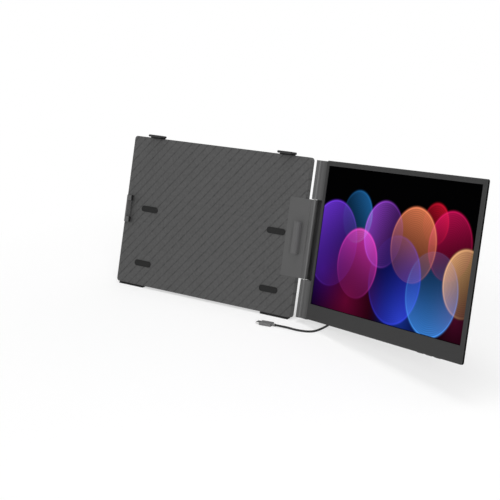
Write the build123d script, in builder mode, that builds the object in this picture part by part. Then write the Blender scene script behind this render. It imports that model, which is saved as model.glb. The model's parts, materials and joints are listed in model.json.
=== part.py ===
"""Clip-on portable monitor: a plate that clips behind a flat panel and carries a hinged screen.

Millimetres. The table is Z = 0, X runs to the right as seen by the person who sits in front, and Y
runs away from that person. The origin is on the table, under the middle of the object.
"""

import os
from math import cos, pi, radians, sin, tan

from build123d import *

os.makedirs("parts", exist_ok=True)

# Pose of the photographed object
plate_lean = 19.3  # how far the plate leans back
screen_turn = 19.8  # the screen turns toward the viewer from in line with the plate
foot_gap = 0.6  # the plate's rear bottom edge stands this high over the table

# Mount plate, a flat hollow shell in two halves
plate_width = 354.0
plate_height = 228.0
plate_thickness = 9.0
plate_corner = 5.0
plate_edge_round = 1.0
plate_wall = 1.6
plate_floor = 1.4
plate_split = 6.0  # height of the joint line over the rear face
stiffener_side_margin = 27.0
stiffener_end_margin = 16.0
stiffener_thickness = 1.5
boss_inset = 11.0
boss_radius = 3.2
plate_screw_radius = 1.25
plate_screw_head_radius = 2.3
plate_screw_head_height = 1.0
screw_drive_radius = 0.8
foot_length = 52.0
foot_end_inset = 5.0
foot_depth = 6.0
foot_inset = 1.2
pad_width = 34.0
pad_height = 9.0
pad_thickness = 1.0
pad_inset = 38.7  # from the held panel's side edges to the middle of a pad
pad_row_low = 34.0
pad_row_high = 118.0

# Flat panel that the clips are made to hold: it is not part of the object
lid_left_inset = 13.55  # from the plate's edges to the held panel's
lid_right_inset = 7.05
lid_top_inset = 0.9
lid_thickness = 5.5
lid_clearance = 0.3
lip_thickness = 1.5

# Spring clips that slide in guides inside the plate
slide_clearance = 0.3
slider_thickness = 2.7
slider_level = 4.4
guide_base = 1.2
guide_side = 2.0
top_clip_inset = 36.7  # from the held panel's side edges to the middle of a clip
top_clip_travel = 25.0
stop_gap = 0.1  # room left at the end of the slide
top_clip_stem_width = 22.0
top_clip_slider_width = 28.0
top_clip_slider_length = 19.0
top_clip_head_width = 26.0
top_clip_head_gap = 1.0
top_clip_head_thickness = 3.4
top_pad_inset = 0.4
top_spring_length = 26.0
side_clip_travel = 5.0
side_clip_width = 41.4
side_clip_rise = 0.7  # its middle over the plate's middle
side_clip_wall = 2.6
side_clip_stand_off = 3.6  # from the held panel's edge to the inside of the clip's wall
side_clip_reach = 2.2  # how far the fingers reach over the held panel's face
side_clip_finger = 8.0
side_clip_slider_length = 46.0
side_spring_length = 30.0
fixed_clip_width = 45.5
fixed_clip_rise = -0.35
fixed_clip_wall = 6.2
fixed_clip_reach = 1.5
fixed_clip_round = 5.6
liner_thickness = 0.6
spring_radius = 1.4
spring_wire = 0.4

# Hinge: a middle barrel on the plate between two barrels on the screen
hinge_offset = 15.0  # from the plate's right edge to the axis
hinge_level = 7.0  # height of the axis over the plate's rear face
barrel_radius = 4.6
hinge_gap = 0.8
middle_low = 58.0
middle_drop = 58.1  # from the level of the plate's top edge down to the middle barrel
block_reach = 27.0  # how far the hinge block reaches over the plate
block_proud = 0.4
sleeve_radius = 3.2
sleeve_length = 34.0
shaft_radius = 2.0
shaft_bore = 1.3
shaft_reach = 44.0
shaft_tail = 8.0
running_clearance = 0.04
washer_radius = 2.8
washer_stack = 3.0
nut_width = 4.6
nut_height = 3.0
cap_thickness = 2.0
bracket_thickness = 2.0
bracket_web = 3.5
bracket_reach = 66.0
bracket_margin = 24.0
stud_radius = 1.5
stud_margin = 12.0
stud_spacing = 18.0
stud_nut_radius = 2.9
stud_nut_height = 1.4

# Screen body, measured from the hinge axis along its width and from the plate's foot in height
screen_left = 20.2
screen_width = 358.5
screen_low = 4.3
screen_drop = 1.3  # from the level of the plate's top edge
screen_front = 0.9
screen_thickness = 9.0
screen_corner = 3.0
side_wall_depth = 3.2
screen_wall = 1.4
bezel_skin = 1.0
bezel_chamfer = 0.5
rear_skin = 1.2
taper_side = 14.0
taper_end = 6.0
bezel_left = 6.35
bezel_right = 8.0
bezel_bottom = 22.0
bezel_top = 6.8
cell_margin = 1.5
cell_lower_margin = 3.2
polarizer_thickness = 0.2
cell_thickness = 0.8
film_thickness = 0.2
light_guide_thickness = 1.6
reflector_thickness = 0.2
tray_thickness = 0.3
led_width = 1.3
chassis_thickness = 1.0
chassis_inset = 11.0
chassis_low = 12.0
chassis_rib = 14.0
chassis_band = 54.7
chassis_lap = 1.5
rear_screw_left_gap = 4.7  # from the end of the leaves
rear_screw_right_inset = 39.0
rear_screw_low_inset = 25.0
rear_screw_high_inset = 11.0
rear_screw_radius = 1.0
rear_screw_head_radius = 1.9
rear_screw_head_height = 0.7
rear_boss_radius = 2.5
skirt_reach = 4.3
skirt_thickness = 1.8

# Knuckles of the screen, each a plastic cover over a steel leaf
knuckle_low = 3.4
knuckle_drop = 2.4  # from the level of the plate's top edge
cover_front = 0.6
cover_rear = -7.7
cover_start = 2.0
cover_blend = 2.5  # hollow between the barrel and the flat of the cover
leaf_thickness = 1.6
leaf_reach = 56.0
leaf_height = 30.0
leaf_margin = 2.0
leaf_screw_radius = 1.0
leaf_screw_margin = 8.0
leaf_screw_pitch = 14.0

# Electronics in the deep bottom border
board_speaker_gap = 5.55
board_width = 150.0
board_height = 9.6
board_thickness = 1.0
board_gap = 0.6
chip_count = 4
chip_size = 6.4
chip_stretch = 1.5
speaker_width = 38.0
speaker_height = 8.4
speaker_thickness = 3.2
speaker_corner = 2.0
speaker_gap = 1.0
speaker_inset = 47.25
grille_slot_width = 1.2
grille_slot_height = 6.0
grille_pitch = 3.2
grille_count = 10
flex_width = 24.0
flex_length = 6.0
flex_thickness = 0.2
button_width = 12.0
button_height = 1.3
button_level = -0.95
button_pitch = 18.0
button_inset = 86.7  # from the screen's right edge to the middle of the first button
button_proud = 0.6
button_travel = 0.5
button_clearance = 0.2
button_flange = 1.0
button_board_depth = 5.0
button_board_thickness = 0.8

# Socket housing behind the plate
housing_width = 30.0
housing_height = 32.0
housing_depth = 11.0
housing_centre = 83.0
housing_wall = 1.5
housing_corner = 2.0
housing_edge_round = 1.3
housing_inset = 1.0  # the housing's mouth stands this far in from the plate's edge
socket_level = -6.5
socket_width = 8.9
socket_height = 3.2
socket_depth = 7.3
socket_metal = 0.3
socket_recess = 0.4
tongue_width = 6.6
tongue_thickness = 0.7
tongue_length = 4.4
port_board_thickness = 1.0
port_chip_width = 8.0
port_chip_height = 6.0
port_chip_pitch = 12.0
wire_offset = 4.0  # from the housing's middle
wire_radius = 0.9
wire_clearance = 0.3
wire_bend = 1.6
screen_wire_radius = 0.8
screen_wire_bend = 1.2
wire_run = 9.0  # over which the wires sink from the hinge axis to behind the chassis

# Kickstand
kick_swing = 14.6  # the open leaf leans back from upright by this much
kick_level = -2.6
kick_width = 156.0
kick_centre = 20.0
kick_length = 134.0
kick_thickness = 2.6
kick_barrel = 2.0
kick_pin_radius = 1.0
kick_pin_length = 22.0
kick_ear_width = 5.0
kick_ear_half = 4.0
kick_pad_radius = 2.2
kick_gap = 0.3
kick_edge_round = 0.8
kick_slot_width = 56.0
kick_slot_height = 13.0
kick_slot_margin = 22.0  # from the leaf's free end to the middle of its finger slot

# Lead with a plug at each end
lead_diameter = 3.0
lead_bend_share = 0.45  # of the shorter run at a corner
plug_length = 19.5
plug_width = 10.6
plug_height = 4.4
plug_corner = 1.4
plug_edge_round = 0.4
plug_gap = 0.2
relief_length = 6.0
relief_radius = 1.8
relief_ring_radius = 2.1
relief_ring_length = 1.2
plug_metal_length = 6.5
plug_metal_width = 8.3
plug_metal_height = 2.5
plug_metal_wall = 0.3

# Directions
across = Vector(1, 0, 0)
up = Vector(0, sin(radians(plate_lean)), cos(radians(plate_lean)))
facing = Vector(0, -cos(radians(plate_lean)), sin(radians(plate_lean)))
screen_across = across * cos(radians(screen_turn)) + facing * sin(radians(screen_turn))
screen_facing = facing * cos(radians(screen_turn)) - across * sin(radians(screen_turn))

# Sizes that follow
half_width = plate_width / 2
plate_middle = plate_height / 2
plate_inner_front = plate_thickness - plate_wall
hinge_x = half_width + hinge_offset
middle_high = plate_height - middle_drop
knuckle_high = plate_height - knuckle_drop
screen_side_back = screen_front - side_wall_depth
screen_back = screen_front - screen_thickness
screen_right = screen_left + screen_width
screen_high = plate_height - screen_drop
screen_height = screen_high - screen_low
screen_mid = (screen_left + screen_right) / 2
board_left = screen_left + speaker_inset + speaker_width / 2 + board_speaker_gap
screen_mid_height = (screen_low + screen_high) / 2
display_left = screen_left + bezel_left
display_right = screen_right - bezel_right
display_low = screen_low + bezel_bottom
display_high = screen_high - bezel_top
block_front = plate_thickness + block_proud
lid_front = plate_thickness + pad_thickness + lid_thickness
lip_back = lid_front + lid_clearance
lip_front = lip_back + lip_thickness
lid_left = lid_left_inset - half_width
lid_right = half_width - lid_right_inset
lid_top = plate_height - lid_top_inset

# The kickstand's hinge stands where the pad of its open leaf meets the table
kick_pin_z = kick_length * cos(radians(kick_swing)) + kick_pad_radius
kick_height = (kick_pin_z - foot_gap - kick_level * facing.Z) / up.Z

# The origin lies on the table under the middle of the object's box
far_x = hinge_x + screen_right * screen_across.X + screen_side_back * screen_facing.X
far_y = screen_low * up.Y + hinge_level * facing.Y
far_y += screen_right * screen_across.Y + screen_front * screen_facing.Y
kick_foot_y = kick_height * up.Y + kick_level * facing.Y
kick_foot_y += kick_length * sin(radians(kick_swing)) + kick_pad_radius
plate_origin = Vector(-(far_x - half_width) / 2, -(far_y + kick_foot_y) / 2, foot_gap)


def on_plate(x, height, level):
    """Point at x along the plate, height up it and level over its rear face."""
    return plate_origin + across * x + up * height + facing * level


hinge_foot = on_plate(hinge_x, 0, hinge_level)


def on_screen(x, height, level):
    """Point at x out from the hinge axis, height up it and level toward the viewer."""
    return hinge_foot + screen_across * x + up * height + screen_facing * level


plate_plane = Plane(origin=plate_origin, x_dir=across, z_dir=facing)
screen_plane = Plane(origin=hinge_foot, x_dir=screen_across, z_dir=screen_facing)


def plate_cut(height):
    """Plane across the plate, with x along the plate and y toward the viewer; it looks down."""
    return Plane(origin=on_plate(0, height, 0), x_dir=across, z_dir=-up)


def screen_cut(height):
    """Plane across the screen, with x out from the hinge and y toward the viewer; it looks down."""
    return Plane(origin=on_screen(0, height, 0), x_dir=screen_across, z_dir=-up)


def side_cut(x):
    """Plane square to the plate's width, with x toward the viewer and y up the plate."""
    return Plane(origin=on_plate(x, 0, 0), x_dir=facing, z_dir=-across)


def write(piece, name):
    """Label one finished piece and write it."""
    piece.part.label = name
    export_step(piece.part, "parts/" + name + ".step")


plate_out = Axis(plate_origin, facing)
plate_up = Axis(plate_origin, up)
plate_across = Axis(plate_origin, across)
screen_out = Axis(hinge_foot, screen_facing)

boss_places = [
    (x, height)
    for x in (boss_inset - half_width, 0, half_width - boss_inset)
    for height in (boss_inset, plate_height - boss_inset)
]

# Slots that the clips slide in
top_clip_centres = [lid_left + top_clip_inset, lid_right - top_clip_inset]
slider_top = slider_level + slider_thickness
slider_bed = slider_level - slide_clearance
mouth_width = top_clip_stem_width + 2 * slide_clearance
mouth_bottom = plate_height - plate_wall
side_wall_right = lid_left - side_clip_stand_off
side_wall_left = side_wall_right - side_clip_wall
side_slot_left = side_wall_left - side_clip_travel - slide_clearance
side_slot_right = side_wall_right + slide_clearance
side_clip_middle = plate_middle + side_clip_rise
side_clip_low = side_clip_middle - side_clip_width / 2
side_clip_high = side_clip_middle + side_clip_width / 2
side_slot_height = side_clip_width + 2 * slide_clearance

# Hinge block and the bracket under it
block_left = half_width - block_reach
block_middle = (middle_low + middle_high) / 2
block_height = middle_high - middle_low
guide_floor = plate_floor + stiffener_thickness
bracket_top = guide_floor + bracket_thickness
bracket_high = middle_high - bracket_margin
bracket_length = block_height - 2 * bracket_margin
bracket_left = half_width - bracket_reach
web_right = hinge_x - shaft_radius / 2
web_left = web_right - bracket_web

# Wires run from the socket's board up through the rear half and into the middle barrel
housing_right = half_width - housing_inset
housing_middle = housing_right - housing_width / 2
wire_x = housing_middle - wire_offset
wire_low = housing_centre - housing_height / 4
wire_hole = wire_radius + wire_clearance

# The kickstand's hinge line and its leaf, open
kick_pin = on_plate(kick_centre, kick_height, kick_level)
kick_along = Vector(0, sin(radians(kick_swing)), -cos(radians(kick_swing)))
kick_end = kick_pin + kick_along * kick_length
kick_face = Plane(origin=kick_pin, x_dir=across, z_dir=kick_along)
leaf_plane = Plane(origin=kick_pin, x_dir=across, z_dir=across.cross(kick_along))
pin_plane = Plane(origin=kick_pin, x_dir=kick_along, z_dir=across)
pad_plane = Plane(origin=kick_end, x_dir=kick_along, z_dir=across)
ear_inner = kick_width / 2 + kick_gap
ear_places = [
    (kick_centre + side * (ear_inner + kick_ear_width / 2), kick_height) for side in (-1, 1)
]

# Front half of the plate
with BuildPart() as plate_front_cover:
    with BuildSketch(plate_plane.offset(plate_split)):
        with Locations((0, plate_middle)):
            RectangleRounded(plate_width, plate_height, plate_corner)
    extrude(amount=plate_thickness - plate_split)
    fillet(plate_front_cover.faces().sort_by(plate_out)[-1].edges(), plate_edge_round)
    with BuildSketch(plate_plane.offset(plate_split)):
        with Locations((0, plate_middle)):
            RectangleRounded(
                plate_width - 2 * plate_wall, plate_height - 2 * plate_wall, plate_corner - plate_wall
            )
    extrude(amount=plate_inner_front - plate_split, mode=Mode.SUBTRACT)
    # Bosses that the screws bite in
    with BuildSketch(plate_plane.offset(plate_floor + plate_screw_head_height)):
        with Locations(*boss_places):
            Circle(boss_radius)
    extrude(amount=plate_inner_front - plate_floor - plate_screw_head_height)
    with BuildSketch(plate_plane.offset(plate_floor)):
        with Locations(*boss_places):
            Circle(plate_screw_radius)
    extrude(amount=plate_inner_front - plate_floor - plate_wall / 2, mode=Mode.SUBTRACT)
    # Mouths of the two top clips
    with BuildSketch(plate_plane.offset(plate_split)):
        for centre in top_clip_centres:
            with Locations((centre, plate_height)):
                Rectangle(mouth_width, 4 * plate_wall)
    extrude(amount=plate_inner_front - plate_split, mode=Mode.SUBTRACT)
    # Slot that the side clip's wall stands in
    with BuildSketch(plate_plane.offset(plate_inner_front)):
        with Locations(((side_slot_left + side_slot_right) / 2, side_clip_middle)):
            Rectangle(side_slot_right - side_slot_left, side_slot_height)
    extrude(amount=plate_wall, mode=Mode.SUBTRACT)
    # Seat of the hinge block, open to the right
    with BuildSketch(plate_plane.offset(plate_split)):
        with Locations((half_width - block_reach / 2 + plate_wall, block_middle)):
            Rectangle(block_reach + 2 * plate_wall, block_height)
    extrude(amount=plate_thickness - plate_split, mode=Mode.SUBTRACT)
write(plate_front_cover, "plate_front_cover")

# Rear half of the plate
with BuildPart() as plate_rear_cover:
    with BuildSketch(plate_plane):
        with Locations((0, plate_middle)):
            RectangleRounded(plate_width, plate_height, plate_corner)
    extrude(amount=plate_split)
    fillet(plate_rear_cover.faces().sort_by(plate_out)[0].edges(), plate_edge_round)
    with BuildSketch(plate_plane.offset(plate_floor)):
        with Locations((0, plate_middle)):
            RectangleRounded(
                plate_width - 2 * plate_wall, plate_height - 2 * plate_wall, plate_corner - plate_wall
            )
    extrude(amount=plate_split - plate_floor, mode=Mode.SUBTRACT)
    # Seats of the screws
    with BuildSketch(plate_plane.offset(plate_floor)):
        with Locations(*boss_places):
            Circle(boss_radius)
    extrude(amount=plate_screw_head_height)
    with BuildSketch(plate_plane):
        with Locations(*boss_places):
            Circle(plate_screw_radius)
    extrude(amount=plate_floor + plate_screw_head_height, mode=Mode.SUBTRACT)
    with BuildSketch(plate_plane):
        with Locations(*boss_places):
            Circle(plate_screw_head_radius)
    extrude(amount=plate_screw_head_height, mode=Mode.SUBTRACT)
    with BuildSketch(plate_plane.offset(slider_bed)):
        for centre in top_clip_centres:
            with Locations((centre, plate_height)):
                Rectangle(mouth_width, 4 * plate_wall)
    extrude(amount=plate_split - slider_bed, mode=Mode.SUBTRACT)
    # Way out for the hinge block in the right wall
    with BuildSketch(plate_plane.offset(guide_floor)):
        with Locations((half_width, block_middle)):
            Rectangle(4 * plate_wall, block_height)
    extrude(amount=plate_split - guide_floor, mode=Mode.SUBTRACT)
    # Hole for the wires from the socket housing
    with BuildSketch(plate_plane):
        with Locations((wire_x, wire_low)):
            Circle(wire_hole)
    extrude(amount=plate_floor, mode=Mode.SUBTRACT)
    # Ears that hold the kickstand's pins
    with BuildSketch(plate_plane):
        with Locations(*ear_places):
            Rectangle(kick_ear_width, 2 * kick_ear_half)
    extrude(amount=kick_level - kick_pad_radius)
    with BuildSketch(pin_plane):
        Circle(kick_pin_radius)
    extrude(amount=kick_width, both=True, mode=Mode.SUBTRACT)
write(plate_rear_cover, "plate_rear_cover")

# Steel sheet that keeps the plate flat
with BuildPart() as plate_stiffener:
    with BuildSketch(plate_plane.offset(plate_floor)):
        with Locations((0, plate_middle)):
            RectangleRounded(
                plate_width - 2 * stiffener_side_margin,
                plate_height - 2 * stiffener_end_margin,
                plate_corner,
            )
    extrude(amount=stiffener_thickness)
write(plate_stiffener, "plate_stiffener")

with BuildPart() as plate_screws:
    with BuildSketch(plate_plane):
        with Locations(*boss_places):
            Circle(plate_screw_head_radius)
    extrude(amount=plate_screw_head_height)
    with BuildSketch(plate_plane):
        with Locations(*boss_places):
            RegularPolygon(screw_drive_radius, 6)
    extrude(amount=plate_screw_head_height / 2, mode=Mode.SUBTRACT)
    with BuildSketch(plate_plane.offset(plate_screw_head_height)):
        with Locations(*boss_places):
            Circle(plate_screw_radius)
    extrude(amount=plate_inner_front - plate_screw_head_height - plate_wall)
write(plate_screws, "plate_screws")

# Rubber feet with a face that lies flat on the table
foot_front = foot_inset + foot_depth
with BuildPart() as plate_feet:
    for right in (foot_end_inset + foot_length - half_width, half_width - foot_end_inset):
        with BuildSketch(side_cut(right)):
            with BuildLine():
                Polyline(
                    (foot_inset, 0),
                    (foot_front, 0),
                    (foot_front, -(foot_gap + foot_front * facing.Z) / up.Z),
                    (foot_inset, -(foot_gap + foot_inset * facing.Z) / up.Z),
                    close=True,
                )
            make_face()
        extrude(amount=foot_length)
write(plate_feet, "plate_feet")

pad_places = [
    (column, height)
    for column in (lid_left + pad_inset, lid_right - pad_inset)
    for height in (pad_row_low, pad_row_high)
]
with BuildPart() as lid_pads:
    with BuildSketch(plate_plane.offset(plate_thickness)):
        with Locations(*pad_places):
            SlotOverall(pad_width, pad_height)
    extrude(amount=pad_thickness)
write(lid_pads, "lid_pads")

# Guides of the three sliding clips, open troughs under the front half
trough_floor = guide_floor + guide_base
trough_depth = plate_inner_front - trough_floor
shoulder = mouth_bottom - top_clip_travel - stop_gap
top_slider_low = shoulder - top_clip_slider_length
top_guide_low = top_slider_low - slide_clearance - top_spring_length - guide_side
top_guide_length = mouth_bottom - top_guide_low
top_trough_width = top_clip_slider_width + 2 * slide_clearance
side_slider_right = side_wall_left + side_clip_slider_length
side_guide_right = side_slider_right + slide_clearance + side_spring_length + guide_side
side_guide_length = side_guide_right - side_slot_left
with BuildPart() as clip_guides:
    with BuildSketch(plate_plane.offset(guide_floor)):
        for centre in top_clip_centres:
            with Locations((centre, mouth_bottom - top_guide_length / 2)):
                Rectangle(top_trough_width + 2 * guide_side, top_guide_length)
        with Locations((side_slot_left + side_guide_length / 2, side_clip_middle)):
            Rectangle(side_guide_length, side_slot_height + 2 * guide_side)
    extrude(amount=plate_inner_front - guide_floor)
    with BuildSketch(plate_plane.offset(trough_floor)):
        for centre in top_clip_centres:
            with Locations((centre, mouth_bottom - (top_guide_length - guide_side) / 2)):
                Rectangle(top_trough_width, top_guide_length - guide_side)
        with Locations((side_slot_left + (side_guide_length - guide_side) / 2, side_clip_middle)):
            Rectangle(side_guide_length - guide_side, side_slot_height)
    extrude(amount=trough_depth, mode=Mode.SUBTRACT)
write(clip_guides, "clip_guides")

# Top clips: a slider, a stem through the plate's top edge and a head that hooks over the held panel
head_low = plate_height + top_clip_head_gap
head_high = head_low + top_clip_head_thickness
head_middle = (head_low + head_high) / 2
top_pad_back = plate_thickness + 2 * lid_clearance
top_pad_front = lip_back - lid_clearance
top_pad_low = lid_top + lid_clearance
top_pad_top = head_low + top_pad_inset
spring_level = (trough_floor + plate_inner_front) / 2
for centre, name in zip(top_clip_centres, ("left_top_clip", "right_top_clip")):
    with BuildPart() as top_clip:
        with BuildSketch(plate_plane.offset(slider_level)):
            with Locations((centre, shoulder - top_clip_slider_length / 2)):
                Rectangle(top_clip_slider_width, top_clip_slider_length)
            with Locations((centre, (shoulder + head_low) / 2)):
                Rectangle(top_clip_stem_width, head_low - shoulder)
        extrude(amount=slider_thickness)
        with BuildSketch(plate_plane.offset(slider_level)):
            with Locations((centre, head_middle)):
                SlotOverall(top_clip_head_width, top_clip_head_thickness)
        extrude(amount=lip_front - slider_level)
        # Recess under the head for the rubber pad
        with BuildSketch(side_cut(centre)):
            with Locations(((top_pad_back + top_pad_front) / 2, head_low + top_pad_inset / 2)):
                Rectangle(top_pad_front - top_pad_back, top_pad_inset)
        extrude(amount=top_clip_stem_width / 2 - lip_thickness, both=True, mode=Mode.SUBTRACT)
    write(top_clip, name)

    with BuildPart() as top_clip_pad:
        with BuildSketch(side_cut(centre)):
            with Locations(((top_pad_back + top_pad_front) / 2, (top_pad_low + top_pad_top) / 2)):
                Rectangle(top_pad_front - top_pad_back, top_pad_top - top_pad_low)
        extrude(amount=top_clip_stem_width / 2 - lip_thickness, both=True)
    write(top_clip_pad, name + "_pad")

# Left side clip: a wall outside the held panel's edge with two fingers over its face
finger_places = [side_clip_low + side_clip_finger / 2, side_clip_high - side_clip_finger / 2]
finger_tip = lid_left + side_clip_reach
rib_right = lid_left - liner_thickness
rib_bottom = plate_thickness + block_proud
with BuildPart() as left_side_clip:
    with BuildSketch(plate_plane.offset(slider_level)):
        with Locations((side_wall_left + side_clip_slider_length / 2, side_clip_middle)):
            Rectangle(side_clip_slider_length, side_clip_width)
    extrude(amount=slider_thickness)
    with BuildSketch(plate_plane.offset(slider_level)):
        with Locations((side_wall_left + side_clip_wall / 2, side_clip_middle)):
            Rectangle(side_clip_wall, side_clip_width)
    extrude(amount=lip_front - slider_level)
    with BuildSketch(plate_plane.offset(lip_back)):
        for height in finger_places:
            with Locations(((side_wall_left + finger_tip) / 2, height)):
                Rectangle(finger_tip - side_wall_left, side_clip_finger)
    extrude(amount=lip_thickness)
    # Ribs that hold the liners against the held panel's edge
    with BuildSketch(plate_plane.offset(rib_bottom)):
        for height in finger_places:
            with Locations(((side_wall_left + rib_right) / 2, height)):
                Rectangle(rib_right - side_wall_left, side_clip_finger)
    extrude(amount=lip_back - rib_bottom)
    fillet(left_side_clip.edges().filter_by(plate_up).group_by(plate_out)[-1], lip_thickness / 2)
write(left_side_clip, "left_side_clip")

with BuildPart() as side_clip_liners:
    with BuildSketch(plate_plane.offset(rib_bottom)):
        for height in finger_places:
            with Locations((lid_left - liner_thickness / 2, height)):
                Rectangle(liner_thickness, side_clip_finger)
    extrude(amount=lip_back - rib_bottom)
write(side_clip_liners, "side_clip_liners")

with BuildPart() as clip_springs:
    with BuildSketch(plate_cut(top_slider_low - slide_clearance)):
        for centre in top_clip_centres:
            with Locations((centre, spring_level)):
                Circle(spring_radius)
                Circle(spring_radius - spring_wire, mode=Mode.SUBTRACT)
    extrude(amount=top_spring_length)
    with BuildSketch(side_cut(side_slider_right + slide_clearance)):
        with Locations((spring_level, side_clip_middle)):
            Circle(spring_radius)
            Circle(spring_radius - spring_wire, mode=Mode.SUBTRACT)
    extrude(amount=-side_spring_length)
write(clip_springs, "clip_springs")

# Hinge bracket: a leaf inside the plate with a web up to two friction sleeves
with BuildPart() as hinge_bracket:
    with BuildSketch(plate_cut(bracket_high)):
        with BuildLine():
            Polyline(
                (bracket_left, guide_floor),
                (web_right, guide_floor),
                (web_right, hinge_level),
                (web_left, hinge_level),
                (web_left, bracket_top),
                (bracket_left, bracket_top),
                close=True,
            )
        make_face()
    extrude(amount=bracket_length)
    with BuildSketch(plate_cut(middle_high)):
        with Locations((hinge_x, hinge_level)):
            Circle(sleeve_radius)
    extrude(amount=sleeve_length)
    with BuildSketch(plate_cut(middle_low + sleeve_length)):
        with Locations((hinge_x, hinge_level)):
            Circle(sleeve_radius)
    extrude(amount=sleeve_length)
    # The middle of the barrel stays open for the nuts and the wires
    with BuildSketch(plate_cut(middle_high - sleeve_length)):
        with Locations((hinge_x, hinge_level)):
            Circle(sleeve_radius)
    extrude(amount=block_height - 2 * sleeve_length, mode=Mode.SUBTRACT)
    with BuildSketch(plate_cut(middle_high)):
        with Locations((hinge_x, hinge_level)):
            Circle(shaft_radius + running_clearance)
    extrude(amount=block_height, mode=Mode.SUBTRACT)
    with BuildSketch(plate_cut(block_middle + wire_hole)):
        with Locations((web_right, hinge_level)):
            Rectangle(4 * bracket_web, 2 * wire_hole)
    extrude(amount=2 * wire_hole, mode=Mode.SUBTRACT)
    stud_places = [
        (bracket_left + stud_margin + column * stud_spacing, block_middle + side * stud_spacing)
        for column in (0, 1)
        for side in (-1, 1)
    ]
    with BuildSketch(plate_plane.offset(guide_floor)):
        with Locations(*stud_places):
            Circle(stud_radius)
    extrude(amount=bracket_thickness, mode=Mode.SUBTRACT)
write(hinge_bracket, "hinge_bracket")

with BuildPart() as bracket_bolts:
    with BuildSketch(plate_plane.offset(guide_floor)):
        with Locations(*stud_places):
            Circle(stud_radius)
    extrude(amount=bracket_thickness)
    with BuildSketch(plate_plane.offset(bracket_top)):
        with Locations(*stud_places):
            RegularPolygon(stud_nut_radius, 6)
    extrude(amount=stud_nut_height)
write(bracket_bolts, "bracket_bolts")

# Hinge block: the middle barrel with a flange that lies in its seat in the plate
with BuildPart() as hinge_block:
    with BuildSketch(plate_cut(middle_high)):
        with Locations((hinge_x, hinge_level)):
            Circle(barrel_radius)
        with Locations(((block_left + hinge_x) / 2, (guide_floor + block_front) / 2)):
            Rectangle(hinge_x - block_left, block_front - guide_floor)
    extrude(amount=block_height)
    with BuildSketch(plate_cut(middle_high)):
        with Locations((hinge_x, hinge_level)):
            Circle(sleeve_radius)
    extrude(amount=block_height, mode=Mode.SUBTRACT)
    with BuildSketch(plate_cut(bracket_high)):
        with Locations(((block_left + web_right) / 2, (guide_floor + bracket_top) / 2)):
            Rectangle(web_right - block_left, bracket_thickness)
        with Locations(((web_left + web_right) / 2, (guide_floor + hinge_level) / 2)):
            Rectangle(bracket_web, hinge_level - guide_floor)
    extrude(amount=bracket_length, mode=Mode.SUBTRACT)
    # Grooves for the wires
    with BuildSketch(plate_plane.offset(guide_floor)):
        with Locations((wire_x, (wire_low + block_middle) / 2)):
            Rectangle(2 * wire_hole, block_middle - wire_low + 2 * wire_hole)
    extrude(amount=hinge_level + wire_hole - guide_floor, mode=Mode.SUBTRACT)
    with BuildSketch(plate_plane.offset(bracket_top)):
        with Locations(((wire_x + hinge_x) / 2, block_middle)):
            Rectangle(hinge_x - wire_x, 2 * wire_hole)
    extrude(amount=hinge_level + wire_hole - bracket_top, mode=Mode.SUBTRACT)
write(hinge_block, "hinge_block")

# Fixed clip at the held panel's right edge, on the hinge block
clip_inner = lid_right + liner_thickness
clip_outer = clip_inner + fixed_clip_wall
clip_tip = lid_right - fixed_clip_reach
fixed_clip_middle = plate_middle + fixed_clip_rise
with BuildPart() as right_side_clip:
    with BuildSketch(plate_cut(fixed_clip_middle + fixed_clip_width / 2)):
        with BuildLine():
            Polyline(
                (clip_inner, block_front),
                (clip_outer, block_front),
                (clip_outer, lip_front),
                (clip_tip, lip_front),
                (clip_tip, lip_back),
                (clip_inner, lip_back),
                close=True,
            )
        make_face()
    extrude(amount=fixed_clip_width)
    front_edges = right_side_clip.edges().filter_by(plate_up).group_by(plate_out)[-1]
    fillet(front_edges.sort_by(plate_across)[-1], fixed_clip_round)
    fillet(right_side_clip.edges().filter_by(plate_up).sort_by(plate_across)[0:2], lip_thickness / 4)
write(right_side_clip, "right_side_clip")

with BuildPart() as right_clip_liner:
    with BuildSketch(plate_plane.offset(block_front)):
        with Locations((lid_right + liner_thickness / 2, fixed_clip_middle)):
            Rectangle(liner_thickness, fixed_clip_width)
    extrude(amount=lip_back - block_front)
write(right_clip_liner, "right_clip_liner")

# Shafts: each is held in a screen bracket and turns in a sleeve of the middle barrel
upper_low = middle_high + hinge_gap
lower_high = middle_low - hinge_gap
shaft_length = shaft_reach + hinge_gap + sleeve_length + shaft_tail
upper_shaft_top = upper_low + shaft_reach
lower_shaft_top = middle_low + sleeve_length + shaft_tail
for name, top in (("upper_hinge_shaft", upper_shaft_top), ("lower_hinge_shaft", lower_shaft_top)):
    with BuildPart() as hinge_shaft:
        with BuildSketch(screen_cut(top)):
            Circle(shaft_radius)
            Circle(shaft_bore, mode=Mode.SUBTRACT)
        extrude(amount=shaft_length)
    write(hinge_shaft, name)

upper_stack = middle_high - sleeve_length - running_clearance
lower_stack = middle_low + sleeve_length + running_clearance
with BuildPart() as friction_washers:
    for top in (upper_stack, lower_stack + washer_stack):
        with BuildSketch(screen_cut(top)):
            Circle(washer_radius)
            Circle(shaft_radius, mode=Mode.SUBTRACT)
        extrude(amount=washer_stack)
write(friction_washers, "friction_washers")

with BuildPart() as hinge_nuts:
    for top in (upper_stack - washer_stack, lower_stack + washer_stack + nut_height):
        with BuildSketch(screen_cut(top)):
            RegularPolygon(nut_width / 2, 6, major_radius=False)
            Circle(shaft_radius, mode=Mode.SUBTRACT)
        extrude(amount=nut_height)
write(hinge_nuts, "hinge_nuts")

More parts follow.
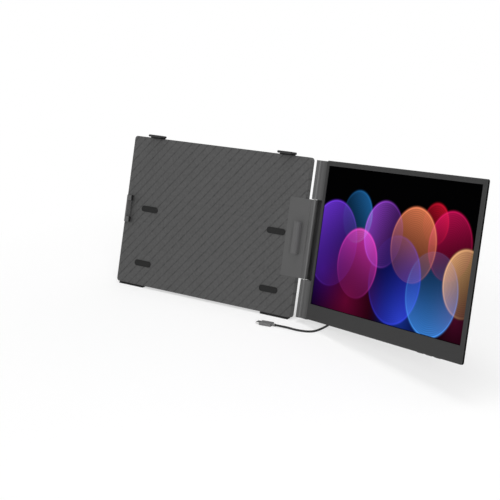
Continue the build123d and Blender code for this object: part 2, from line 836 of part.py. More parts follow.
# Levels of the display stack and of the chassis behind it
bezel_back = screen_front - bezel_skin
cell_front = bezel_back - polarizer_thickness
cell_back = cell_front - cell_thickness
film_level = cell_back - film_thickness
light_level = film_level - light_guide_thickness
reflector_level = light_level - reflector_thickness
tray_level = reflector_level - tray_thickness
chassis_level = tray_level - chassis_thickness
cell_left = display_left - cell_margin
cell_right = display_right + cell_margin
cell_low = display_low - cell_lower_margin
cell_high = display_high + cell_margin
light_low = cell_low + led_width

# Screen knuckles: a steel leaf with a sleeve, and a plastic cover with room for both
rear_inner = screen_back + rear_skin
leaf_top = chassis_level
leaf_level = leaf_top - leaf_thickness
upper_leaf_low = upper_low + leaf_margin
lower_leaf_low = lower_high - leaf_margin - leaf_height
wire_level = chassis_level - wire_radius
wire_top = upper_shaft_top + 2 * wire_bend
wire_slot_low = wire_level - wire_hole
leaf_web_left = cover_start + screen_wall
leaf_screw_places = [
    (leaf_reach - leaf_screw_margin - column * leaf_screw_pitch, share * leaf_height / 4)
    for column in (0, 1)
    for share in (1, 3)
]
knuckles = (
    ("upper", upper_low, knuckle_high, upper_leaf_low),
    ("lower", knuckle_low, lower_high, lower_leaf_low),
)
for side, low, high, leaf_low in knuckles:
    with BuildPart() as leaf_bracket:
        with BuildSketch(screen_cut(leaf_low + leaf_height)):
            with Locations(((leaf_web_left + leaf_reach) / 2, (leaf_level + leaf_top) / 2)):
                Rectangle(leaf_reach - leaf_web_left, leaf_thickness)
            with Locations((leaf_web_left + leaf_thickness / 2, leaf_level / 2)):
                Rectangle(leaf_thickness, -leaf_level)
            with Locations(((leaf_web_left + leaf_thickness) / 2, -leaf_thickness / 2)):
                Rectangle(leaf_web_left + leaf_thickness, leaf_thickness)
            Circle(sleeve_radius)
        extrude(amount=leaf_height)
        with BuildSketch(screen_cut(leaf_low + leaf_height)):
            Circle(shaft_radius)
        extrude(amount=leaf_height, mode=Mode.SUBTRACT)
        with BuildSketch(screen_plane.offset(leaf_level)):
            with Locations(*[(x, leaf_low + height) for x, height in leaf_screw_places]):
                Circle(leaf_screw_radius)
        extrude(amount=leaf_thickness, mode=Mode.SUBTRACT)
    write(leaf_bracket, side + "_leaf_bracket")

    with BuildPart() as knuckle_cover:
        with BuildSketch(screen_cut(high)) as cover_outline:
            Circle(barrel_radius)
            with Locations(((cover_start + screen_left) / 2, (cover_front + cover_rear) / 2)):
                Rectangle(screen_left - cover_start, cover_front - cover_rear)
            corner = cover_outline.vertices().sort_by_distance((barrel_radius, cover_front))[0]
            fillet(corner, cover_blend)
        extrude(amount=high - low)
        with BuildSketch(screen_cut(high)):
            Circle(sleeve_radius)
        extrude(amount=high - low, mode=Mode.SUBTRACT)
        with BuildSketch(screen_cut(leaf_low + leaf_height)):
            with Locations(((leaf_web_left + screen_left) / 2, (leaf_level + leaf_top) / 2)):
                Rectangle(screen_left - leaf_web_left, leaf_thickness)
            with Locations((leaf_web_left + leaf_thickness / 2, leaf_level / 2)):
                Rectangle(leaf_thickness, -leaf_level)
            with Locations(((leaf_web_left + leaf_thickness) / 2, -leaf_thickness / 2)):
                Rectangle(leaf_web_left + leaf_thickness, leaf_thickness)
        extrude(amount=leaf_height, mode=Mode.SUBTRACT)
        if side == "upper":
            with BuildSketch(screen_cut(wire_top + wire_hole)):
                with Locations(((cover_start + screen_left) / 2, (wire_slot_low - wire_clearance) / 2)):
                    Rectangle(screen_left - cover_start, -wire_slot_low - wire_clearance)
            extrude(amount=2 * wire_hole, mode=Mode.SUBTRACT)
    write(knuckle_cover, side + "_knuckle_cover")

with BuildPart() as hinge_end_caps:
    for top in (knuckle_high, knuckle_low + cap_thickness):
        with BuildSketch(screen_cut(top)):
            Circle(sleeve_radius)
        extrude(amount=cap_thickness)
write(hinge_end_caps, "hinge_end_caps")

# Front bezel: a thin frame round the display with a low wall behind its edge
display_width = display_right - display_left
display_height = display_high - display_low
display_middle = ((display_left + display_right) / 2, (display_low + display_high) / 2)
button_back = button_level - button_height / 2
button_first = screen_right - button_inset
button_places = [button_first + button_pitch * index for index in range(3)]
with BuildPart() as front_bezel:
    with BuildSketch(screen_plane.offset(screen_side_back)):
        with Locations((screen_mid, screen_mid_height)):
            RectangleRounded(screen_width, screen_height, screen_corner)
    extrude(amount=side_wall_depth)
    chamfer(front_bezel.faces().sort_by(screen_out)[-1].edges(), bezel_chamfer)
    with BuildSketch(screen_plane.offset(screen_side_back)):
        with Locations((screen_mid, screen_mid_height)):
            RectangleRounded(
                screen_width - 2 * screen_wall, screen_height - 2 * screen_wall, screen_corner - screen_wall
            )
    extrude(amount=side_wall_depth - bezel_skin, mode=Mode.SUBTRACT)
    with BuildSketch(screen_plane.offset(screen_side_back)):
        with Locations(display_middle):
            Rectangle(display_width, display_height)
    extrude(amount=side_wall_depth, mode=Mode.SUBTRACT)
    # Slots of the buttons in the bottom wall
    with BuildSketch(screen_plane.offset(button_back - button_clearance)):
        for place in button_places:
            with Locations((place, screen_low)):
                Rectangle(button_width + 2 * button_clearance, 4 * screen_wall)
    extrude(amount=button_height + 2 * button_clearance, mode=Mode.SUBTRACT)
write(front_bezel, "front_bezel")

# Display stack, from the front
layers = (
    ("screen_polarizer", cell_front, polarizer_thickness, cell_low),
    ("display_cell", cell_back, cell_thickness, cell_low),
    ("diffuser_films", film_level, film_thickness, light_low),
    ("light_guide", light_level, light_guide_thickness, light_low),
    ("reflector_sheet", reflector_level, reflector_thickness, light_low),
    ("panel_tray", tray_level, tray_thickness, cell_low),
)
for name, level, thickness, low in layers:
    with BuildPart() as layer:
        with BuildSketch(screen_plane.offset(level)):
            with Locations(((cell_left + cell_right) / 2, (low + cell_high) / 2)):
                Rectangle(cell_right - cell_left, cell_high - low)
        extrude(amount=thickness)
    write(layer, name)

with BuildPart() as led_bar:
    with BuildSketch(screen_plane.offset(light_level)):
        with Locations(((cell_left + cell_right) / 2, cell_low + led_width / 2)):
            Rectangle(cell_right - cell_left, led_width)
    extrude(amount=light_guide_thickness)
write(led_bar, "led_bar")

# Chassis under the tray, with bosses that carry the rear cover's screws
chassis_left = screen_left + screen_wall
chassis_right = screen_right - chassis_inset
chassis_middle = (chassis_left + chassis_right) / 2
chassis_middle_height = (chassis_low + cell_high) / 2
window_width = (chassis_right - chassis_left - 4 * chassis_rib) / 3
window_height = cell_high - chassis_low - 2 * chassis_band
rear_screw_left = leaf_reach + rear_screw_left_gap
rear_screw_right = chassis_right - rear_screw_right_inset
rear_screw_places = [
    (column, height)
    for column in (rear_screw_left, (rear_screw_left + rear_screw_right) / 2, rear_screw_right)
    for height in (chassis_low + rear_screw_low_inset, cell_high - rear_screw_high_inset)
]
speaker_middle = cell_low - speaker_gap - speaker_height / 2
speaker_places = [(x, speaker_middle) for x in (screen_left + speaker_inset, screen_right - speaker_inset)]
leaf_holes = [
    (x, leaf_low + height) for leaf_low in (upper_leaf_low, lower_leaf_low) for x, height in leaf_screw_places
]
board_high = cell_low - board_gap
board_middle = board_high - board_height / 2
with BuildPart() as chassis_frame:
    with BuildSketch(screen_plane.offset(chassis_level)):
        with Locations((chassis_middle, chassis_middle_height)):
            RectangleRounded(chassis_right - chassis_left, cell_high - chassis_low, screen_corner)
            with GridLocations(window_width + chassis_rib, 1, 3, 1):
                RectangleRounded(window_width, window_height, screen_corner, mode=Mode.SUBTRACT)
        # Openings behind the speakers
        with Locations(*speaker_places):
            Rectangle(
                speaker_width - 2 * chassis_lap, speaker_height - 2 * chassis_lap, mode=Mode.SUBTRACT
            )
    extrude(amount=chassis_thickness)
    with BuildSketch(screen_plane.offset(rear_inner)):
        with Locations(*rear_screw_places):
            Circle(rear_boss_radius)
            Circle(rear_screw_radius, mode=Mode.SUBTRACT)
    extrude(amount=chassis_level - rear_inner)
    with BuildSketch(screen_plane.offset(chassis_level)):
        with Locations(*leaf_holes):
            Circle(leaf_screw_radius)
        with Locations((board_left + board_gap + 2 * wire_hole, board_middle)):
            Circle(wire_hole)
    extrude(amount=chassis_thickness, mode=Mode.SUBTRACT)
write(chassis_frame, "chassis_frame")

with BuildPart() as leaf_screws:
    with BuildSketch(screen_plane.offset(leaf_level)):
        with Locations(*leaf_holes):
            Circle(leaf_screw_radius)
    extrude(amount=tray_level - leaf_level)
write(leaf_screws, "leaf_screws")

# Rear cover: a dished shell that tapers to the thin edge, with a skirt behind the middle barrel
taper_share = (screen_side_back - rear_inner) / (screen_side_back - screen_back)
rim_right = screen_right - 1.5 * screen_wall
cavity_right = rim_right - taper_side * taper_share
cavity_low = screen_low + screen_wall + taper_end * taper_share
cavity_high = screen_high - screen_wall - taper_end * taper_share
with BuildPart() as rear_cover:
    with BuildSketch(screen_plane.offset(screen_side_back)):
        with Locations((screen_mid, screen_mid_height)):
            RectangleRounded(screen_width, screen_height, screen_corner)
    with BuildSketch(screen_plane.offset(screen_back)):
        with Locations((screen_mid - taper_side / 2, screen_mid_height)):
            RectangleRounded(screen_width - taper_side, screen_height - 2 * taper_end, screen_corner)
    loft(ruled=True)
    with BuildSketch(screen_plane.offset(screen_back)):
        with Locations(((screen_left - skirt_reach) / 2 + screen_wall, (lower_high + upper_low) / 2)):
            Rectangle(screen_left + skirt_reach + 2 * screen_wall, upper_low - lower_high)
    extrude(amount=skirt_thickness)
    with BuildSketch(screen_plane.offset(screen_side_back)):
        with Locations(((screen_left + screen_wall + rim_right) / 2, screen_mid_height)):
            RectangleRounded(
                rim_right - screen_left - screen_wall,
                screen_height - 2 * screen_wall,
                screen_corner - screen_wall,
            )
    with BuildSketch(screen_plane.offset(rear_inner)):
        with Locations(((screen_left + screen_wall + cavity_right) / 2, (cavity_low + cavity_high) / 2)):
            RectangleRounded(
                cavity_right - screen_left - screen_wall,
                cavity_high - cavity_low,
                screen_corner - screen_wall,
            )
    loft(ruled=True, mode=Mode.SUBTRACT)
    # Gates in the left wall for the two leaves and the wires
    for low in (upper_leaf_low, lower_leaf_low):
        with BuildSketch(screen_cut(low + leaf_height)):
            with Locations((screen_left, (leaf_level + leaf_top) / 2)):
                Rectangle(4 * screen_wall, leaf_thickness)
        extrude(amount=leaf_height, mode=Mode.SUBTRACT)
    with BuildSketch(screen_cut(wire_top + wire_hole)):
        with Locations((screen_left, wire_level)):
            Rectangle(4 * screen_wall, 2 * wire_radius)
    extrude(amount=2 * wire_hole, mode=Mode.SUBTRACT)
    with BuildSketch(screen_plane.offset(screen_back)):
        with Locations(*rear_screw_places):
            Circle(rear_screw_radius)
    extrude(amount=rear_skin, mode=Mode.SUBTRACT)
    with BuildSketch(screen_plane.offset(screen_back)):
        with Locations(*rear_screw_places):
            Circle(rear_screw_head_radius)
    extrude(amount=rear_screw_head_height, mode=Mode.SUBTRACT)
    # Sound slots behind the speakers
    with BuildSketch(screen_plane.offset(screen_back)):
        with Locations(*speaker_places):
            with GridLocations(grille_pitch, 1, grille_count, 1):
                SlotOverall(grille_slot_height, grille_slot_width, rotation=90)
    extrude(amount=rear_skin, mode=Mode.SUBTRACT)
write(rear_cover, "rear_cover")

with BuildPart() as rear_cover_screws:
    with BuildSketch(screen_plane.offset(screen_back)):
        with Locations(*rear_screw_places):
            Circle(rear_screw_head_radius)
    extrude(amount=rear_screw_head_height)
    with BuildSketch(screen_plane.offset(screen_back)):
        with Locations(*rear_screw_places):
            RegularPolygon(screw_drive_radius, 6)
    extrude(amount=rear_screw_head_height / 2, mode=Mode.SUBTRACT)
    with BuildSketch(screen_plane.offset(screen_back + rear_screw_head_height)):
        with Locations(*rear_screw_places):
            Circle(rear_screw_radius)
    extrude(amount=chassis_level - screen_back - rear_screw_head_height)
write(rear_cover_screws, "rear_cover_screws")

# Driver board, flex and speakers in the deep bottom border
board_top = tray_level + board_thickness
with BuildPart() as driver_board:
    with BuildSketch(screen_plane.offset(tray_level)):
        with Locations((board_left + board_width / 2, board_middle)):
            Rectangle(board_width, board_height)
    extrude(amount=board_thickness)
    with BuildSketch(screen_plane.offset(board_top)):
        with Locations((board_left + board_width / 2, board_middle)):
            with GridLocations(board_width / chip_count, 1, chip_count, 1):
                Rectangle(chip_stretch * chip_size, chip_size)
    extrude(amount=board_thickness)
write(driver_board, "driver_board")

with BuildPart() as panel_flex:
    with BuildSketch(screen_plane.offset(cell_back)):
        with Locations((board_left + board_width / 2, cell_low - flex_length / 2)):
            Rectangle(flex_width, flex_length)
    extrude(amount=flex_thickness)
    with BuildSketch(screen_plane.offset(board_top)):
        with Locations((board_left + board_width / 2, cell_low - flex_length + flex_thickness / 2)):
            Rectangle(flex_width, flex_thickness)
    extrude(amount=cell_back - board_top + flex_thickness)
write(panel_flex, "panel_flex")

with BuildPart() as speakers:
    with BuildSketch(screen_plane.offset(bezel_back - speaker_thickness)):
        with Locations(*speaker_places):
            RectangleRounded(speaker_width, speaker_height, speaker_corner)
    extrude(amount=speaker_thickness)
write(speakers, "speakers")

# Push buttons along the bottom edge, with the board of their switches
button_root = screen_low + screen_wall + button_clearance
button_low = screen_low - button_proud
switch_low = button_root + button_flange + button_travel + button_clearance
for place, name in zip(button_places, ("power_button", "menu_button", "brightness_button")):
    with BuildPart() as button:
        with BuildSketch(screen_plane.offset(button_back)):
            with Locations((place, (button_low + button_root) / 2)):
                Rectangle(button_width, button_root - button_low)
            with Locations((place, button_root + button_flange / 2)):
                Rectangle(button_width + 2 * button_flange, button_flange)
        extrude(amount=button_height)
        fillet(button.edges().filter_by(screen_out).group_by(plate_up)[0], button_clearance)
    write(button, name)

with BuildPart() as button_board:
    with BuildSketch(screen_plane.offset(button_back - button_board_thickness)):
        with Locations((button_places[1], switch_low + button_board_depth / 2)):
            Rectangle(2 * button_pitch + button_width, button_board_depth)
    extrude(amount=button_board_thickness)
    with BuildSketch(screen_plane.offset(button_back)):
        for place in button_places:
            with Locations((place, switch_low + button_flange)):
                Rectangle(button_width / 3, 2 * button_flange)
    extrude(amount=button_height)
    # Posts that hold the board to the bezel
    with BuildSketch(screen_plane.offset(button_back)):
        for side in (-1, 1):
            with Locations((button_places[1] + side * button_pitch / 2, switch_low + button_board_depth / 2)):
                Circle(leaf_screw_radius)
    extrude(amount=bezel_back - button_back)
write(button_board, "button_board")

# Socket housing behind the plate, with its board and socket
with BuildPart() as socket_housing:
    with BuildSketch(plate_plane):
        with Locations((housing_middle, housing_centre)):
            RectangleRounded(housing_width, housing_height, housing_corner)
    extrude(amount=-housing_depth)
    fillet(socket_housing.faces().sort_by(plate_out)[0].edges(), housing_edge_round)
    with BuildSketch(plate_plane):
        with Locations((housing_middle, housing_centre)):
            Rectangle(housing_width - 2 * housing_wall, housing_height - 2 * housing_wall)
    extrude(amount=housing_wall - housing_depth, mode=Mode.SUBTRACT)
    with BuildSketch(side_cut(housing_right)):
        with Locations((socket_level, housing_centre)):
            SlotOverall(socket_width, socket_height, rotation=90)
    extrude(amount=2 * housing_wall, mode=Mode.SUBTRACT)
write(socket_housing, "socket_housing")

socket_mouth = housing_right - socket_recess
with BuildPart() as usb_socket:
    with BuildSketch(side_cut(socket_mouth)):
        with Locations((socket_level, housing_centre)):
            SlotOverall(socket_width, socket_height, rotation=90)
    extrude(amount=socket_depth)
    with BuildSketch(side_cut(socket_mouth)):
        with Locations((socket_level, housing_centre)):
            SlotOverall(socket_width - 2 * socket_metal, socket_height - 2 * socket_metal, rotation=90)
    extrude(amount=socket_depth - socket_metal, mode=Mode.SUBTRACT)
    with BuildSketch(side_cut(socket_mouth - socket_depth + socket_metal + tongue_length)):
        with Locations((socket_level, housing_centre)):
            Rectangle(tongue_thickness, tongue_width)
    extrude(amount=tongue_length)
write(usb_socket, "usb_socket")

board_back = socket_level + socket_height / 2
board_front = board_back + port_board_thickness
with BuildPart() as port_board:
    with BuildSketch(plate_plane.offset(board_back)):
        with Locations((housing_middle, housing_centre)):
            Rectangle(housing_width - 2 * housing_wall, housing_height - 2 * housing_wall)
    extrude(amount=port_board_thickness)
    with BuildSketch(plate_plane.offset(board_front)):
        with Locations((housing_middle, housing_centre + housing_height / 4)):
            with GridLocations(port_chip_pitch, 1, 2, 1):
                Rectangle(port_chip_width, port_chip_height)
    extrude(amount=port_board_thickness)
write(port_board, "port_board")

# Wires to the screen: one run up to the hinge and through its hollow shaft, one inside the screen
plate_wire_points = [
    on_plate(wire_x, wire_low, board_front),
    on_plate(wire_x, wire_low, hinge_level),
    on_plate(wire_x, block_middle, hinge_level),
    on_plate(hinge_x, block_middle, hinge_level),
    on_plate(hinge_x, upper_shaft_top - wire_clearance, hinge_level),
]
with BuildPart() as plate_wires:
    with BuildLine():
        FilletPolyline(*plate_wire_points, radius=wire_bend)
    with BuildSketch(Plane(origin=plate_wire_points[0], z_dir=facing)):
        Circle(wire_radius)
    sweep()
write(plate_wires, "plate_wires")

wire_end_x = board_left + board_gap + 2 * wire_hole
screen_wire_points = [
    on_screen(0, upper_shaft_top, 0),
    on_screen(0, wire_top, 0),
    on_screen(wire_run, wire_top, wire_level),
    on_screen(wire_end_x, wire_top, wire_level),
    on_screen(wire_end_x, board_middle, wire_level),
    on_screen(wire_end_x, board_middle, tray_level),
]
with BuildPart() as screen_wires:
    with BuildLine():
        FilletPolyline(*screen_wire_points, radius=screen_wire_bend)
    with BuildSketch(Plane(origin=screen_wire_points[0], z_dir=up)):
        Circle(screen_wire_radius)
    sweep()
write(screen_wires, "screen_wires")

# Kickstand, open until its pad meets the table
with BuildPart() as kickstand:
    with BuildSketch(kick_face):
        Rectangle(kick_width, kick_thickness)
    extrude(amount=kick_length)
    fillet(kickstand.edges().filter_by(Axis(kick_pin, kick_along)), kick_edge_round)
    # Slot to pull the leaf out by
    with BuildSketch(leaf_plane):
        with Locations((0, kick_length - kick_slot_margin)):
            SlotOverall(kick_slot_width, kick_slot_height)
    extrude(amount=kick_thickness, both=True, mode=Mode.SUBTRACT)
    with BuildSketch(pin_plane):
        Circle(kick_barrel)
    extrude(amount=kick_width / 2, both=True)
    with BuildSketch(pin_plane):
        Circle(kick_pin_radius + running_clearance)
    extrude(amount=kick_width / 2, both=True, mode=Mode.SUBTRACT)
    with BuildSketch(pad_plane):
        Circle(kick_pad_radius)
    extrude(amount=kick_width / 2, both=True, mode=Mode.SUBTRACT)
write(kickstand, "kickstand")

with BuildPart() as kickstand_pad:
    with BuildSketch(pad_plane):
        Circle(kick_pad_radius)
    extrude(amount=kick_width / 2, both=True)
write(kickstand_pad, "kickstand_pad")

with BuildPart() as kickstand_pins:
    for side in (-1, 1):
        with BuildSketch(pin_plane.offset(side * (ear_inner + kick_ear_width))):
            Circle(kick_pin_radius)
        extrude(amount=-side * kick_pin_length)
write(kickstand_pins, "kickstand_pins")

# Lead: one plug sits in the socket, the other lies free on the table
socket_plug_face = housing_right + plug_gap
lead_start = on_plate(socket_plug_face + plug_length + relief_length, housing_centre, socket_level)
lead_points = [
    lead_start,
    Vector(38.2, 54.7, 76.8),
    Vector(53.7, 53.3, 57.0),
    Vector(55.2, 48.8, 30.0),
    Vector(55.4, 39.8, 5.5),
    Vector(55.0, 23.3, 1.5),
    Vector(55.2, -0.7, 1.5),
    Vector(49.0, -11.8, 1.5),
    Vector(29.2, -15.9, 1.5),
    Vector(7.7, -15.1, 2.2),
    Vector(-10.6, -16.4, 2.2),
]
lead_radii = []
for before, corner, after in zip(lead_points, lead_points[1:], lead_points[2:]):
    shorter = min((corner - before).length, (after - corner).length)
    half_turn = radians((corner - before).get_angle(after - corner)) / 2
    lead_radii.append(lead_bend_share * shorter / tan(half_turn))
print("plate origin", plate_origin)
print("lead bend radii", [round(radius, 1) for radius in lead_radii])
with BuildPart() as usb_lead:
    with BuildLine() as lead_path:
        FilletPolyline(*lead_points, radius=lead_radii)
    with BuildSketch(Plane(origin=lead_points[0], z_dir=lead_points[1] - lead_points[0])):
        Circle(lead_diameter / 2)
    sweep()
lead_length = lead_path.wires()[0].length
lead_volume = pi * lead_diameter**2 / 4 * lead_length
print("lead length", round(lead_length, 1), "volume", round(usb_lead.part.volume / lead_volume, 4))
write(usb_lead, "usb_lead")

free_direction = lead_points[-1] - lead_points[-2]
plugs = (
    ("socket_plug", lead_start, -across, up),
    ("free_plug", lead_points[-1], free_direction.normalized(), free_direction.cross(Vector(0, 0, 1))),
)
for name, lead_end, heading, wide in plugs:
    plug_face = Plane(origin=lead_end, x_dir=wide, z_dir=heading)
    with BuildPart() as plug:
        with BuildSketch(plug_face):
            Circle(relief_ring_radius)
        extrude(amount=relief_ring_length)
        with BuildSketch(plug_face.offset(relief_ring_length)):
            Circle(relief_radius)
        extrude(amount=relief_length - relief_ring_length)
        with BuildSketch(plug_face.offset(relief_length)):
            RectangleRounded(plug_width, plug_height, plug_corner)
        extrude(amount=plug_length)
        fillet(plug.faces().sort_by(Axis(lead_end, heading))[-1].edges(), plug_edge_round)
    write(plug, name)

    with BuildPart() as plug_metal:
        with BuildSketch(plug_face.offset(relief_length + plug_length)):
            SlotOverall(plug_metal_width, plug_metal_height)
            SlotOverall(
                plug_metal_width - 2 * plug_metal_wall,
                plug_metal_height - 2 * plug_metal_wall,
                mode=Mode.SUBTRACT,
            )
        extrude(amount=plug_metal_length)
    write(plug_metal, name + "_shell")
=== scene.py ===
# %% [markdown]
# # A clip-on portable monitor
# The real object is a flat plate with spring clips round its edges and a thin 15.6 inch screen on a
# hinge at its right side. The solid parts come from the CAD model, in metres, with the table at
# Z = 0. This lesson keeps those shapes where they are and gives them light, finishes and a real
# lead, so every step below starts from the frame that is loaded here.

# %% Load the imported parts
import json
from math import cos, pi, radians, sin

import bpy
from mathutils import Euler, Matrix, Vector


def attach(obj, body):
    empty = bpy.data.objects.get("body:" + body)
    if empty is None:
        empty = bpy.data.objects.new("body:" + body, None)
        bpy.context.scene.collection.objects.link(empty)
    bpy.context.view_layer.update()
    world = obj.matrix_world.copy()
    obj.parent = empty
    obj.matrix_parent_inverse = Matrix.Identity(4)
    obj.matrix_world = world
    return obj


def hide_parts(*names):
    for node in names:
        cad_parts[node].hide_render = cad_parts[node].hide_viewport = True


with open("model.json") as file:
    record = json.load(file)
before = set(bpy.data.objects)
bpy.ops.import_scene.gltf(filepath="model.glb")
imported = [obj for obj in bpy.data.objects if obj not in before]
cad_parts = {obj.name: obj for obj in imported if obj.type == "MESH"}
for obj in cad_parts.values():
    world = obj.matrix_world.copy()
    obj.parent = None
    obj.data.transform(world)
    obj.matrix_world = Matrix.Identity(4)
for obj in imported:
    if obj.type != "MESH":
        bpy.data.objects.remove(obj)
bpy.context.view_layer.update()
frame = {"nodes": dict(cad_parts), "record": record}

nodes = frame["nodes"]
bodies = {
    name: body
    for body, members in frame["record"]["behaviour"]["bodies"].items()
    for name in members
}

# %% [markdown]
# ## The camera
# A product photograph is taken from a few metres away with a long lens, so that the edges stay
# nearly parallel. The camera could be aimed by hand, but the angles below were worked out from the
# corners of the screen and of the plate, which is exact and needs no shift of the lens.

# %% Camera
camera_place = (1.306715, -1.467214, 0.73741)
camera_angles = (72.3186, 5.0863, 41.3671)  # degrees about X, Y and Z
camera_lens = 107.52  # millimetres
sensor_width = 36  # millimetres
nearest_seen = 0.02


def new_object(name, data):
    """Put new data in the scene under a name."""
    made = bpy.data.objects.new(name, data)
    bpy.context.scene.collection.objects.link(made)
    return made


camera = new_object("photo_camera", bpy.data.cameras.new("photo_camera"))
camera.data.lens = camera_lens
camera.data.sensor_width = sensor_width
camera.data.clip_start = nearest_seen
camera.location = camera_place
camera.rotation_euler = Euler([radians(angle) for angle in camera_angles], "XYZ")
bpy.context.scene.camera = camera
print("camera stands", round(camera.location.length, 3), "m from the origin")

# %% [markdown]
# ## Directions of the plate and of the screen
# The plate leans back on its kickstand, and the screen turns toward the viewer about an axis that
# leans with it. Patterns on a leaning part are easiest to lay out along that part's own directions,
# so they are worked out once, from the same two angles as in the CAD model.

# %% Directions
plate_lean = radians(19.3)
screen_turn = radians(19.8)
plate_origin = Vector((-0.186045, 0.021176, 0.0006))  # middle of the lower edge, at the rear face
hinge_across = 0.192  # from there to the hinge's axis
hinge_level = 0.007  # height of the axis over the plate's rear face

across = Vector((1, 0, 0))
up = Vector((0, sin(plate_lean), cos(plate_lean)))
facing = Vector((0, -cos(plate_lean), sin(plate_lean)))
screen_across = across * cos(screen_turn) + facing * sin(screen_turn)
screen_facing = facing * cos(screen_turn) - across * sin(screen_turn)
hinge_foot = plate_origin + across * hinge_across + facing * hinge_level
print("screen looks along", [round(value, 3) for value in screen_facing])

# %% [markdown]
# ## The lead
# A short round lead brings power and picture to a socket behind the plate, and its free plug lies
# on the table. Its line is one NURBS spline over the listed points of the route, which bends as
# rubber does. The order is set after the points, because set before them it would leave straight
# runs. A curve could be kept as it is, but a mesh made from it shows and exports the same way
# everywhere, so the bevelled curve is turned into a tube, and the bare curve gives its path.

# %% Route of the lead
lead_diameter = 0.003
lead_line_points = 12  # points of the line for each point of the route
lead_roundness = 6
lead_route = (
    (0.015655, 0.054743, 0.076787),
    (0.0382, 0.0547, 0.0768),
    (0.0537, 0.0533, 0.0570),
    (0.0552, 0.0488, 0.0300),
    (0.0554, 0.0398, 0.0055),
    (0.0550, 0.0233, 0.0015),
    (0.0552, -0.0007, 0.0015),
    (0.0490, -0.0118, 0.0015),
    (0.0292, -0.0159, 0.0015),
    (0.0077, -0.0151, 0.0022),
    (-0.0106, -0.0164, 0.0022),
)
line = bpy.data.curves.new("lead_line", "CURVE")
line.dimensions = "3D"
line.resolution_u = lead_line_points
line.bevel_resolution = lead_roundness
line.use_fill_caps = True
spline = line.splines.new("NURBS")
spline.points.add(len(lead_route) - 1)
for point, place in zip(spline.points, lead_route):
    point.co = (*place, 1)
spline.order_u = 3
spline.use_endpoint_u = True
route = new_object("lead_line", line)
print("route of the lead over", len(lead_route), "points")


# %% Tube of the lead
def mesh_of(curve_object):
    """The mesh that Blender makes of a curve, in its present thickness."""
    shown = curve_object.evaluated_get(bpy.context.evaluated_depsgraph_get())
    return bpy.data.meshes.new_from_object(shown)


lead_path = [tuple(vertex.co) for vertex in mesh_of(route).vertices]
line.bevel_depth = lead_diameter / 2
tube = mesh_of(route)
tube.name = "lead"
bpy.data.objects.remove(route)
lead = new_object("lead", tube)
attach(lead, bodies["usb_lead"])
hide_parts("usb_lead")
print("lead tube of", len(tube.vertices), "vertices over", len(lead_path), "points of its line")

# %% [markdown]
# ## Maths on a socket
# A finish is worked out by nodes, and the sum of three values already takes two of them. They could
# be placed and wired one by one, but a written sum is easier to read and to change. So one small
# class holds a node's output, and an expression on it adds the Math nodes that it needs.

# %% A socket that does maths
class Signal:
    """An output of a node in a finish, which adds Math nodes when values are worked out from it."""

    def __init__(self, finish, socket):
        self.finish = finish
        self.socket = socket

    def maths(self, operation, *values):
        """One Math node on these values."""
        return self.finish.node("Math", dict(enumerate(values)), operation=operation)

    def __add__(self, other):
        return self.maths("ADD", self, other)

    def __radd__(self, other):
        return self.maths("ADD", other, self)

    def __sub__(self, other):
        return self.maths("SUBTRACT", self, other)

    def __rsub__(self, other):
        return self.maths("SUBTRACT", other, self)

    def __mul__(self, other):
        return self.maths("MULTIPLY", self, other)

    def __rmul__(self, other):
        return self.maths("MULTIPLY", other, self)

    def __truediv__(self, other):
        return self.maths("DIVIDE", self, other)

    def __rtruediv__(self, other):
        return self.maths("DIVIDE", other, self)

    def __pow__(self, other):
        return self.maths("POWER", self, other)

    def largest(self, other):
        """The larger of two values."""
        return self.maths("MAXIMUM", self, other)

    def clamped(self):
        """The value kept between 0 and 1."""
        return self.maths("MINIMUM", self.largest(0), 1)

    def absolute(self):
        """The value without its sign."""
        return self.maths("ABSOLUTE", self)

    def wave(self, pitch):
        """A sine between 0 and 1 that repeats after a pitch."""
        return self.maths("SINE", self * (2 * pi / pitch)) * 0.5 + 0.5


print("a socket now takes + - * / and **, from either side")

# %% [markdown]
# ## One way to add a node
# Each kind of node has settings, and some of them change which sockets it shows. Every node could
# be added and wired in its own few lines, but those lines are much alike. So one method adds them
# all: it takes the kind, makes the settings first, and then fills or links the sockets. Colours and
# vectors go through Mix and Vector Math, because a Math node would turn them grey.

# %% A finish and its one way to add a node
class Finish:
    """A material under construction, or the world's."""

    def __init__(self, name, owner=None):
        self.material = owner or bpy.data.materials.new(name)
        self.material.use_nodes = True
        self.tree = self.material.node_tree
        self.tree.nodes.clear()

    def node(self, kind, sockets=None, out=0, **settings):
        """Add a node: its settings come first, then the values or links of its sockets."""
        made = self.tree.nodes.new("ShaderNode" + kind)
        for setting, value in settings.items():
            setattr(made, setting, value)
        for name, value in (sockets or {}).items():
            socket = made.inputs[name]
            if isinstance(value, Signal):
                self.tree.links.new(value.socket, socket)
            elif isinstance(socket.default_value, float):
                socket.default_value = value
            else:
                missing = len(socket.default_value) - len(value)
                socket.default_value = (*value, *(1,) * missing)
        return Signal(self, made.outputs[out]) if made.outputs else None

    def with_light(self, first, second):
        """The light of one colour laid over another."""
        sockets = {0: 1.0, 6: first, 7: second}
        return self.node("Mix", sockets, out=2, data_type="RGBA", blend_type="SCREEN")

    def blend(self, share, first, second):
        """One colour that turns into another by a share."""
        sockets = {0: share, 6: first, 7: second}
        return self.node("Mix", sockets, out=2, data_type="RGBA")

    def scaled(self, colour, amount):
        """A colour times a value."""
        return self.node("VectorMath", {0: colour, "Scale": amount}, operation="SCALE")

    def measured(self, operation, first, second=(0, 0, 0)):
        """A length, distance or dot product of vectors."""
        return self.node("VectorMath", {0: first, 1: second}, out="Value", operation=operation)

    def place(self):
        """Where a point is on the part at rest, in metres."""
        return self.node("TexCoord", out="Object")

    def close(self, shader):
        """End the material with a shader."""
        self.node("OutputMaterial", {"Surface": shader})
        return self.material


print("a finish starts empty and takes any node by its kind")

